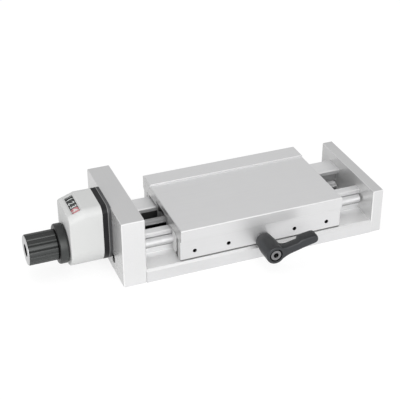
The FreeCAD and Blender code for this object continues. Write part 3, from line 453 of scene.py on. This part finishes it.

# %% [markdown]
# ## Moulded and machined plastics
# Mould makers etch or spark-erode a fine grain into the tool, and the plastic shows it as a soft,
# even sheen. A picture of such a grain could be laid on, but it would need an unwrapped surface. A
# fine noise as bump gives the grain, and a slow noise in the roughness shows where the skin cooled
# differently. The same function makes every plastic, light or dark. Knob and lever are painted
# darker on top and below than on their sides, as painted shade, and a thin line runs round two
# pieces: a pale line along the left edge of the painted adapter, and a dark line of painted shade at
# the gap between the knob's grip and its collar.

# %% Plastics
def plastic(name, colour, roughness, grain=2200, depth=0.02 * MM, spread=0.06, specular=0.4,
            rim=None, top_bottom_shade=0.0):
    """Grained plastic; spread is how far the colour drifts, as a share of its value.

    A rim is a line round the piece: its start and end along X and its grey. The share for faces
    that look up or down is how much darker they are painted than faces that look to a side: painted
    shade.
    """
    finish = Finish(name, colour, roughness, specular=specular)
    flow = finish.noise((35, 35, 35), detail=4.0)
    specks = finish.noise((grain, grain, grain), detail=3.0)
    low = tuple(c * (1 - spread) for c in colour)
    high = tuple(min(1.0, c * (1 + spread)) for c in colour)
    body = finish.blend(finish.ranged(flow, 0, 1), low, high)
    if top_bottom_shade:
        height = finish.facing()["Z"]
        above = finish.ranged(height, 0, top_bottom_shade, start=0.6, end=0.85)
        below = finish.ranged(height, top_bottom_shade, 0, start=-0.6, end=-0.2)
        body = finish.blend(finish.math("MAXIMUM", above, below), body, 0.0)
    if rim:
        start, end, grey = rim
        line = finish.within((start, -1, -1), (end, 1, 1), edge=0.1 * MM)
        body = finish.blend(line, body, grey)
    finish.link(body, "Base Color")
    finish.link(finish.ranged(flow, roughness + 0.06, roughness - 0.05), "Roughness")
    finish.bump(specks, depth)
    return finish.material


grip_centre, grip_half = place_of("knob_grip")
knob_gap = grip_centre[0] + grip_half[0]
# A dark line of painted shade at the gap between the grip and the collar.
gap_shade_line = (knob_gap - 0.7 * MM, knob_gap + 0.5 * MM, 0.004)
adapter_centre, adapter_half = place_of("indicator_adapter")
adapter_edge = adapter_centre[0] - adapter_half[0]
adapter_rim = (adapter_edge - 0.1 * MM, adapter_edge + 0.4 * MM, 0.22)
housing_plastic = plastic("housing_plastic", (0.572, 0.577, 0.572), 0.5, spread=0.02)
cover_plastic = plastic("cover_plastic", (0.008, 0.008, 0.009), 0.5, specular=0.25)
adapter_paint = plastic("adapter_paint", (0.055, 0.056, 0.058), 0.5, grain=1500, spread=0.35,
                        rim=adapter_rim)
knob_plastic = plastic("knob_plastic", (0.034, 0.037, 0.036), 0.4, top_bottom_shade=0.6, rim=gap_shade_line)
lever_plastic = plastic("lever_plastic", (0.024, 0.026, 0.029), 0.4, top_bottom_shade=0.5)
gib_plastic = plastic("gib_plastic", (0.82, 0.82, 0.82), 0.5, grain=1800)
gear_plastic = plastic("gear_plastic", (0.72, 0.71, 0.67), 0.4)
wheel_black = plastic("wheel_black", (0.012, 0.012, 0.013), 0.35)
wheel_red = plastic("wheel_red", (0.82, 0.3, 0.33), 0.35)
dress(housing_plastic, "indicator_housing")
dress(cover_plastic, "indicator_base")
dress(adapter_paint, "indicator_adapter")
dress(knob_plastic, "knob_grip", "knob_collar")
dress(lever_plastic, "lever_handle")
dress(gib_plastic, "front_gib", "rear_liner")
dress(gear_plastic, "drive_gear", "counter_gear", "transfer_shaft")
dress(wheel_black, "number_wheel_ones", "number_wheel_tens", "number_wheel_hundreds")
dress(wheel_red, "number_wheel_tenths")
print("plastic pieces dressed")

# %% [markdown]
# ## The nuts
# The two nuts are grey blocks. The upper half of each end, over the screw, lies deep in the
# carriage's recess and is painted black as painted shade, and the part above it has the colour of
# the carriage. The shade could be a dark piece of its own, but it lies flush in the nut. So the
# material tells the three apart by place, and the nut and its wiper look like one piece.

# %% Nut paint with its painted shade
shade_box = ((-0.07, -0.0045, 0.0243), (0.07, 0.0074, 0.0300))
cap_box = ((-0.07, -0.02, 0.0300), (0.07, 0.02, 0.0330))


def nut_paint():
    """Mottled grey paint, black as painted shade inside the shade's box, and pale inside the cap's
    box.
    """
    finish = Finish("nut_paint", (0.14, 0.14, 0.142), 0.5)
    cloud = finish.noise((300, 300, 900))
    body = finish.blend(finish.ranged(cloud, 0, 1), (0.16, 0.16, 0.162), (0.3, 0.3, 0.302))
    colour = finish.blend(finish.within(*shade_box), body, 0.006)
    finish.link(finish.blend(finish.within(*cap_box), colour, 0.5), "Base Color")
    return finish.material


dress(nut_paint(), "spindle_nut", "backlash_nut", "nut_wipers")
print("nuts dressed")

# %% [markdown]
# ## The window
# A clear plastic pane lies over the number wheels. It is thin, so the bending of light in it can be
# left out: the shader mixes plain transparency, which lets the lamps reach the wheels, with a weak
# glossy reflection whose share follows the Fresnel law of acrylic. Only the outer face reflects,
# because the law would turn the inner one into a full mirror. The pane's rims are painted from
# below, in the housing's grey.

# %% Window pane
window_tilt = radians(20.0)
clear_half_height = 2.9 * MM
clear_rear = 9.4 * MM


def clear_pane():
    """Clear in the middle, painted like the housing outside a rectangle in the pane's plane.

    The place up the slope is x cos(tilt) + z sin(tilt), measured from the pane's middle.
    """
    acrylic_index, outer_share, paint_roughness = 1.49, 0.8, 0.5
    finish = Finish("clear_pane", (0.53, 0.535, 0.53), 0.06)
    centre = place_of("indicator_window")[0]
    slope = (cos(window_tilt), 0, sin(window_tilt))
    uphill = finish.vector_math("DOT_PRODUCT", finish.coordinates, slope, "Value")
    middle = centre[0] * cos(window_tilt) + centre[2] * sin(window_tilt)
    off = finish.math("ABSOLUTE", finish.math("SUBTRACT", uphill, middle))
    rims = finish.ranged(off, 0, 1, start=clear_half_height, end=clear_half_height + 0.15 * MM)
    rear = finish.ranged(finish.split(finish.coordinates)["Y"], 0, 1,
                         start=centre[1] + clear_rear, end=centre[1] + clear_rear + 0.2 * MM)
    border = finish.math("MAXIMUM", rims, rear)
    film = finish.ranged(finish.noise((180, 180, 180)), 0.05, 0.12)
    finish.link(finish.number_blend(border, film, paint_roughness), "Roughness")
    clear = finish.node("ShaderNodeBsdfTransparent", Color=(0.96, 0.97, 0.97, 1))
    mirror = finish.node("ShaderNodeFresnel", IOR=acrylic_index)
    inside = finish.node("ShaderNodeNewGeometry").outputs["Backfacing"]
    share = finish.math("MULTIPLY", mirror.outputs[0],
                        finish.math("SUBTRACT", outer_share, inside))
    finish.mix_shaders(finish.math("MAXIMUM", share, border), clear.outputs[0],
                       finish.shader.outputs[0])
    return finish.material


dress(clear_pane(), "indicator_window")
print("window dressed")

# %% [markdown]
# ## Surfaces from formulas
# Threads, flutes and flowing forms could be modelled by hand from cylinders and boxes. Here they
# are surfaces over two parameters, one along the piece and one round it, because a formula keeps
# every width a number that can be held against the photograph. It fills an array of points, one row
# per station, and the first helper below joins neighbouring points to faces. Lengths are in metres.

# %% Helper for surfaces
def grid_faces(rows, columns, first=0):
    """Quads between neighbouring rows of points; the columns close into a ring."""
    row, column = np.meshgrid(np.arange(rows - 1), np.arange(columns), indexing="ij")
    beside = (column + 1) % columns
    corners = (row * columns + column, row * columns + beside,
               (row + 1) * columns + beside, (row + 1) * columns + column)
    return (np.stack(corners, axis=-1).reshape(-1, 4) + first).tolist()


def surface(name, grids, material, sharp_degrees=40):
    """One object from one or more grids of points, each shaped (stations, round, 3)."""
    points, faces = [], []
    for grid in grids:
        faces += grid_faces(grid.shape[0], grid.shape[1], len(points))
        points += grid.reshape(-1, 3).tolist()
    mesh = bpy.data.meshes.new(name)
    mesh.from_pydata(points, [], faces)
    mesh.validate()
    mesh.shade_smooth()
    mesh.set_sharp_from_angle(angle=radians(sharp_degrees))
    mesh.materials.append(material)
    made = bpy.data.objects.new(name, mesh)
    scene.collection.objects.link(made)
    print(name, "has", len(mesh.polygons), "faces")
    return made


print("helper for surfaces ready")

# %% [markdown]
# ## Turned pieces
# The knob, its collar, the lever's hub and the number drums are all turned on a lathe or moulded in
# a turned form. A Screw modifier could spin their outlines. Computing the ring of points directly
# leaves nothing to apply, and lets the radius change round the axis, as a thread or a flute needs.

# %% Helpers for turned pieces
def round_angles(steps_round):
    """One row of equal angles, once round an axis."""
    return np.linspace(0, 2 * pi, steps_round, endpoint=False)[None, :]


def rounded(corners, radius, steps=5):
    """Path through (along, radius) corners with every inner corner rounded by a small arc.

    Near a corner the path follows a quadratic curve from radius before it to radius after it,
    with the corner as its middle control point.
    """
    corners = [np.array(c, dtype=float) for c in corners]
    path = [corners[0]]
    for before, corner, after in zip(corners, corners[1:], corners[2:]):
        reach = min(radius, np.linalg.norm(corner - before) / 2, np.linalg.norm(after - corner) / 2)
        start = corner + (before - corner) / np.linalg.norm(before - corner) * reach
        end = corner + (after - corner) / np.linalg.norm(after - corner) * reach
        for t in np.linspace(0, 1, steps):
            path.append((1 - t) ** 2 * start + 2 * t * (1 - t) * corner + t ** 2 * end)
    path.append(corners[-1])
    return np.array(path)


def closed(path):
    """The path with its first point once more at the end, so that the cross-section is a ring."""
    return np.concatenate((path, path[:1]))


def turned(along, radius, angle, centre, axis="X"):
    """Points at radius round an axis through centre: one way r cos(angle), upwards r sin(angle)."""
    along = along + 0 * angle
    side, height = radius * np.cos(angle), centre[2] + radius * np.sin(angle)
    if axis == "X":
        return np.stack((along, centre[1] + side, height), axis=-1)
    return np.stack((centre[0] + side, along, height), axis=-1)


print("helpers for turned pieces ready")

# %% [markdown]
# ## The screw thread
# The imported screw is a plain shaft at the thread's crest. A bump could draw the thread, but its
# outline would stay straight, so the surface is replaced by a true helix. At each place the phase
# is how far along the pitch it is, less the share of a turn round the axis. The radius falls from
# crest to root and back over one phase, with short flats on both, like a rolled metric thread.

# %% Lead screw with its thread
thread_pitch = 1.0 * MM
thread_depth = 0.3 * MM
thread_lead_in = 0.6 * MM


def threaded_shaft(start, end, centre, crest, steps_round=40, steps_per_turn=9):
    """Helical height field on a cylinder: radius = crest - depth * valley(phase).

    The valley is 1 on a flat round the middle of the phase, 0 on a flat at its ends, and straight
    between. At both ends of the shaft the radius falls to the root over the lead-in.
    """
    stations = int((end - start) / thread_pitch * steps_per_turn)
    x = np.linspace(start, end, stations)[:, None]
    angle = round_angles(steps_round)
    phase = (x / thread_pitch - angle / (2 * pi)) % 1.0
    valley = np.clip(1.5 - 4 * np.abs(phase - 0.5), 0, 1)
    bevel = np.clip(1 - np.minimum(x - start, end - x) / thread_lead_in, 0, 1)
    grid = turned(x, crest - thread_depth * np.maximum(valley, bevel), angle, centre)
    caps = [np.repeat([[[grid[k, 0, 0], centre[1], centre[2]]]], steps_round, axis=1)
            for k in (0, -1)]
    return np.concatenate((caps[0], grid, caps[1]), axis=0)


thread = threaded_shaft(screw_centre[0] - screw_half[0], screw_centre[0] + screw_half[0],
                        screw_centre, screw_half[2])
lead_thread = surface("lead_screw_thread", [thread], thread_steel, sharp_degrees=60)
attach(lead_thread, "spindle")
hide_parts("lead_screw")

# %% [markdown]
# ## The fluted grip
# The grip is a drum with sixteen narrow grooves. They could be cut with sixteen bars and a Boolean
# modifier, which leaves hard edges and long thin faces. Here the outline along the axis is a
# rounded path, and round the axis the radius dips by a smooth bell at each groove. The bell fades
# out on the rounded ends, so that every land has a soft edge.

# %% Knob grip
grip_radius = 10.7 * MM
grip_bore = 9.2 * MM
grip_rounding = 1.1 * MM
flute_count = 16
flute_half_width = 0.5 * MM
flute_depth = 0.7 * MM
flute_run_out = 0.8 * MM


def fluted_drum(centre, half_length, outer, bore, steps_per_flute=18):
    """Drum whose radius is outline(s) - depth * bell(angle), a closed ring in cross-section.

    The bell is exp(-(distance from the groove's middle / half width) squared). It is multiplied by
    the share of the run-out below the full radius that the outline has climbed.
    """
    corners = [(-half_length, bore), (-half_length, outer), (half_length, outer),
               (half_length, bore)]
    path = closed(rounded(corners, grip_rounding, steps=8))
    angle = round_angles(flute_count * steps_per_flute)
    across = (angle * flute_count / (2 * pi) + 0.5) % 1.0 - 0.5
    across = across * (2 * pi / flute_count) * outer
    bell = np.exp(-(across / flute_half_width) ** 2)
    share = np.clip((path[:, 1:] - (outer - flute_run_out)) / flute_run_out, 0, 1)
    return turned(centre[0] + path[:, :1], path[:, 1:] - flute_depth * bell * share, angle, centre)


drum = fluted_drum(grip_centre, grip_half[0], grip_radius, grip_bore)
fluted_grip = surface("fluted_grip", [drum], knob_plastic, sharp_degrees=50)
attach(fluted_grip, "spindle")
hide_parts("knob_grip")

# %% [markdown]
# ## The knob's collar
# The collar is a plain ring with generously rounded rims, which catch the light as a thin pale
# line. A cylinder with a Bevel modifier would do, but an outline turned about the axis of the grip,
# with the same helpers and without flutes, is sure to match its neighbour.

# %% Knob collar
collar_bore = 7.1 * MM
collar_rounding = 1.3 * MM


def rounded_ring(name, bore, steps_round=120):
    """Closed outline as long and as wide as a node, with rounded rims, turned about X."""
    centre, half = place_of(name)
    corners = [(-half[0], bore), (-half[0], half[2]), (half[0], half[2]), (half[0], bore)]
    path = closed(rounded(corners, collar_rounding, steps=8))
    return turned(centre[0] + path[:, :1], path[:, 1:], round_angles(steps_round), centre)


collar = surface("rounded_collar", [rounded_ring("knob_collar", collar_bore)], knob_plastic)
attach(collar, "spindle")
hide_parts("knob_collar")

# %% [markdown]
# ## The clamping lever
# The lever is cast in one piece: a round hub, and an arm that grows out of the hub's outer end and
# runs slightly upwards to a rounded tip. A box with a Subdivision Surface modifier could be pulled
# into this form by eye. Two formulas are used instead, so that each width can be measured in the
# photograph and set. The hub comes first: a rounded outline turned about its axis.

# %% Lever hub
lever_centre, lever_half = place_of("lever_handle")
hub_end_y = lever_centre[1] - lever_half[1]
hub_base_y = lever_centre[1] + lever_half[1] + 0.35 * MM


def turned_hub(steps_round=72):
    """Outline (distance from the base, radius) turned about the stud, hollow from both ends."""
    length = (hub_base_y - hub_end_y) / MM
    foot_radius, hub_radius, spring_bore, head_bore, stud_bore = 5.7, 6.7, 4.08, 4.7, 2.2
    shoulder, floor = length - 8.8, length - 10.0
    corners = [(0, spring_bore), (0, foot_radius), (9.4, hub_radius), (length, hub_radius),
               (length, head_bore), (shoulder, head_bore), (shoulder, stud_bore),
               (floor, stud_bore), (floor, spring_bore), (0, spring_bore)]
    corners = [(a * MM, r * MM) for a, r in corners]
    base = rounded(corners[:3], 0.5 * MM)
    tip = rounded(corners[2:5], 2.2 * MM, steps=9)
    path = np.concatenate((base[:-1], tip, np.array(corners[5:])))
    return turned(hub_base_y - path[:, :1], path[:, 1:], round_angles(steps_round),
                  stud_centre, axis="Y")


hub = turned_hub()
print("hub is", round(float(hub_base_y - hub_end_y) / MM, 2), "mm long")

# %% [markdown]
# ## The lever's arm
# The arm is a row of cross-sections, each a superellipse, which is a circle whose exponent is
# raised from 2 to 4.4 so that it fills its corners. Four steps along the arm shape it: the root
# widens it into the hub, the waist thins it, the swell broadens it from the middle on, and the fade
# narrows it again before the tip, where the sections shrink.

# %% Lever arm
arm_tilt = radians(12.5)
arm_drop = 0.7 * MM
arm_start, arm_reach = 5.0 * MM, 32.5 * MM
arm_tip_radius = 3.5 * MM


def step(along, start, length):
    """Straight step from 0 at start to 1 at start + length."""
    return np.clip((along - start) / length, 0, 1)


def superellipse(angle, exponent=4.4):
    """Side and front of a unit superellipse: the sign of cos and sin, times their power."""
    power = 2 / exponent
    side, front = np.cos(angle), np.sin(angle)
    return np.sign(side) * np.abs(side) ** power, np.sign(front) * np.abs(front) ** power


def lofted_arm(steps_round=40, stations=60):
    """Superellipse sections; half width, depth and lift are sums of steps along the arm.

    Half width = 3.55 + 1.6 root + 0.55 swell - 0.15 waist - 0.45 fade, depth = 7 + 1.2 root
    + 2 swell - 0.5 waist and lift = 0.5 swell + 0.15 waist - 0.45 fade, in millimetres. At the tip
    the width shrinks by (1 - b^p)^(1/p) with p = 2.7, where b runs from 0 to 1 over the tip's
    radius, and the depth loses up to 1.4 mm on each side.
    """
    tip_exponent = 2.7
    quarter = np.linspace(0, pi / 2, stations)
    along = arm_start + (arm_reach - arm_start) * np.sin(quarter)
    root = np.clip((11.5 * MM - along) / (6.5 * MM), 0, 1) ** 2
    swell = step(along, 18.0 * MM, 2.1 * MM)
    swell = swell * swell * (3 - 2 * swell)
    waist = step(along, 7.0 * MM, 11.0 * MM)
    fade = step(along, 22.0 * MM, 9.0 * MM)
    half_width = (3.55 * MM + 1.6 * MM * root + 0.55 * MM * swell - 0.15 * MM * waist
                  - 0.45 * MM * fade)
    depth = 7.0 * MM - 0.5 * MM * waist + 2.0 * MM * swell + 1.2 * MM * root
    lift = 0.5 * MM * swell + 0.15 * MM * waist - 0.45 * MM * fade
    beyond = step(along, arm_reach - arm_tip_radius, arm_tip_radius)
    shrink = np.clip(1 - beyond ** tip_exponent, 0, 1) ** (1 / tip_exponent)
    inset = (1 - shrink) * 1.4 * MM
    half_depth = np.maximum(depth / 2 - inset, 0.4 * MM) * np.where(shrink > 0, 1, 0)
    angle = round_angles(steps_round)
    side, front = superellipse(angle)
    across = (half_width * shrink)[:, None] * side + lift[:, None]
    y = hub_end_y + 0.05 * MM + depth[:, None] / 2 + half_depth[:, None] * front
    u = along[:, None] + 0 * angle
    x = stud_centre[0] + u * cos(arm_tilt) - across * sin(arm_tilt)
    z = stud_centre[2] - arm_drop + u * sin(arm_tilt) + across * cos(arm_tilt)
    return np.stack((x, y, z), axis=-1)


lever_form = surface("cast_lever", [hub, lofted_arm()], lever_plastic, sharp_degrees=50)
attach(lever_form, "lever")
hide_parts("lever_handle")

# %% [markdown]
# ## The number drums
# Each number wheel gets a drum with rounded rims, which reaches close below the pane. The plain
# wheels could have been kept, but the photograph shows the drums closer together, each with its own
# width. So their front edges, rear edges and the middles of their digits were read from it.

# %% Number drums
drum_radius = 8.0 * MM
drum_bore = 3 * MM
drum_rounding = 0.25 * MM
drum_places = {"tenths": (-10.65, -5.05, -7.9), "ones": (-5.0, -0.65, -3.05),
               "tens": (-0.6, 4.15, 1.75), "hundreds": (4.2, 9.95, 6.55)}


def number_drum(wheel, body, material):
    """Outline across the rim, rounded at both edges, turned about the wheel's axle."""
    front, rear = drum_places[body][0] * MM, drum_places[body][1] * MM
    corners = [(front, drum_bore), (front, drum_radius), (rear, drum_radius), (rear, drum_bore)]
    path = closed(rounded(corners, drum_rounding, steps=4))
    grid = turned(path[:, :1], path[:, 1:], round_angles(120), place_of(wheel)[0], axis="Y")
    made = surface(body + "_drum", [grid], material)
    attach(made, body)
    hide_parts(wheel)


print("drums have a radius of", drum_radius / MM, "mm")

# %% [markdown]
# ## The digits
# Each drum carries the ten digits. A digit starts as flat text and is cut into narrow strips
# across its height. A Shrinkwrap modifier could press it on the drum. Bending its points by a
# formula is as short, and leaves it 0.02 mm above the drum everywhere. The window shows one digit
# of each drum, and the next higher digit lies one tenth of a turn below it.

# %% Flat digits
digit_height = 4.75 * MM
digit_lift = 0.02 * MM
digit_weight = 0.022
digit_strips = 16


def flat_digit(number):
    """Mesh of one digit, centred, digit_height tall, lying in its own X and Y."""
    curve = bpy.data.curves.new("digit", "FONT")
    curve.body = str(number)
    curve.resolution_u = 6
    curve.offset = digit_weight
    holder = bpy.data.objects.new("digit", curve)
    scene.collection.objects.link(holder)
    bpy.context.view_layer.update()
    mesh = bpy.data.meshes.new_from_object(holder)
    bpy.data.objects.remove(holder)
    bpy.data.curves.remove(curve)
    shape = bmesh.new()
    shape.from_mesh(mesh)
    bpy.data.meshes.remove(mesh)
    xs, ys = [v.co.x for v in shape.verts], [v.co.y for v in shape.verts]
    scale = digit_height / (max(ys) - min(ys))
    middle = Vector(((max(xs) + min(xs)) / 2, (max(ys) + min(ys)) / 2, 0))
    for vertex in shape.verts:
        vertex.co = (vertex.co - middle) * scale
    for k in range(1 - digit_strips // 2, digit_strips // 2):
        cut = Vector((0, k * digit_height / digit_strips, 0))
        geometry = list(shape.verts) + list(shape.edges) + list(shape.faces)
        bmesh.ops.bisect_plane(shape, geom=geometry, plane_co=cut, plane_no=(0, 1, 0))
    return shape


print("digits are", digit_height / MM, "mm tall")

# %% Digits bent round the drums
window_outward = Vector((-sin(window_tilt), 0, cos(window_tilt)))
window_uphill = Vector((cos(window_tilt), 0, sin(window_tilt)))


def digits_on(wheel, body, shown, ink):
    """Ten digits bent round one drum; shown is the one behind the window.

    A point at height y on a digit lies at the angle lead + y / radius from the window's normal.
    """
    centre = Vector(place_of(wheel)[0])
    centre.y = drum_places[body][2] * MM
    points, faces = [], []
    for number in range(10):
        shape = flat_digit(number)
        lead = -2 * pi / 10 * (number - shown)
        first = len(points)
        for index, vertex in enumerate(shape.verts):
            vertex.index = index
            angle = lead + vertex.co.y / drum_radius
            outward = cos(angle) * window_outward + sin(angle) * window_uphill
            place = centre + outward * (drum_radius + digit_lift)
            points.append((place.x, centre.y - vertex.co.x, place.z))
        faces += [[first + v.index for v in face.verts] for face in shape.faces]
        shape.free()
    mesh = bpy.data.meshes.new(wheel + "_digits")
    mesh.from_pydata(points, [], faces)
    mesh.materials.append(ink)
    made = bpy.data.objects.new(wheel + "_digits", mesh)
    scene.collection.objects.link(made)
    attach(made, body)
    print(made.name, "has", len(mesh.polygons), "faces")


digit_ink = plastic("digit_ink", (0.85, 0.85, 0.83), 0.5, depth=0.005 * MM)
for body, shown in (("hundreds", 1), ("tens", 2), ("ones", 3), ("tenths", 4)):
    number_drum("number_wheel_" + body, body, wheel_red if body == "tenths" else wheel_black)
    digits_on("number_wheel_" + body, body, shown, digit_ink)

# %% [markdown]
# ## Floor and background
# The photograph has a white ground that fades into white. The floor is a large pale sheet, partly
# self-lit for camera and reflection rays, so it reads as white and still keeps a soft shadow. More
# lamps would make it white too, but would bleach the slide. The room behind it is white for the
# camera, and a little weaker as a light on the slide.

# %% Floor
floor_half = 3.0
floor_glow, floor_glow_share = 1.12, 0.72
floor_mesh = bpy.data.meshes.new("floor")
floor_mesh.from_pydata([(-floor_half, -floor_half, 0), (floor_half, -floor_half, 0),
                        (floor_half, floor_half, 0), (-floor_half, floor_half, 0)],
                       [], [(0, 1, 2, 3)])
floor = bpy.data.objects.new("floor", floor_mesh)
scene.collection.objects.link(floor)

pale = Finish("pale_floor", (0.82, 0.82, 0.82), 0.9)
glow = pale.node("ShaderNodeEmission", Strength=floor_glow)
path = pale.node("ShaderNodeLightPath")
seen = pale.math("MAXIMUM", path.outputs["Is Camera Ray"], path.outputs["Is Glossy Ray"])
pale.mix_shaders(pale.math("MULTIPLY", seen, floor_glow_share), pale.shader.outputs[0],
                 glow.outputs[0])
floor_mesh.materials.append(pale.material)
print("floor made")

# %% Room
room_light, room_seen = 0.70, 1.0
world = bpy.data.worlds.new("pale_room")
world.use_nodes = True
scene.world = world
room = Nodes(world.node_tree)
sky = room.tree.nodes["Background"]
room.feed(sky.inputs["Color"], (1, 1, 1, 1))
rays = room.node("ShaderNodeLightPath")
level = room.ranged(rays.outputs["Is Camera Ray"], room_light, room_seen, start=0, end=1)
room.feed(sky.inputs["Strength"], level)
print("room made")

# %% [markdown]
# ## Light
# One broad lamp stands at the front, because the faces that look to the front are the brightest
# ones. A weaker one hangs above, and a third at the left lifts the knob's end. A picture of a
# studio could light the slide as well, but lamps can be set one by one against the photograph's
# greys. All three are large, so every shadow has a soft edge.

# %% Lamps
lamp_size = 0.9


def lamp(name, place, aim, watts):
    """Square area lamp at place, turned towards aim."""
    data = bpy.data.lights.new(name, "AREA")
    data.shape = "SQUARE"
    data.size = lamp_size
    data.energy = watts
    made = bpy.data.objects.new(name, data)
    scene.collection.objects.link(made)
    made.location = place
    made.rotation_euler = (Vector(aim) - Vector(place)).to_track_quat("-Z", "Y").to_euler()
    print(name, "has", watts, "W")


lamp("front_lamp", (-0.15, -1.3, 0.5), (0, 0, 0.02), 12.3)
lamp("top_lamp", (-0.2, 0.2, 1.4), (0, 0, 0), 2.5)
lamp("left_lamp", (-1.4, -0.1, 0.35), (-0.1, 0, 0.03), 4)
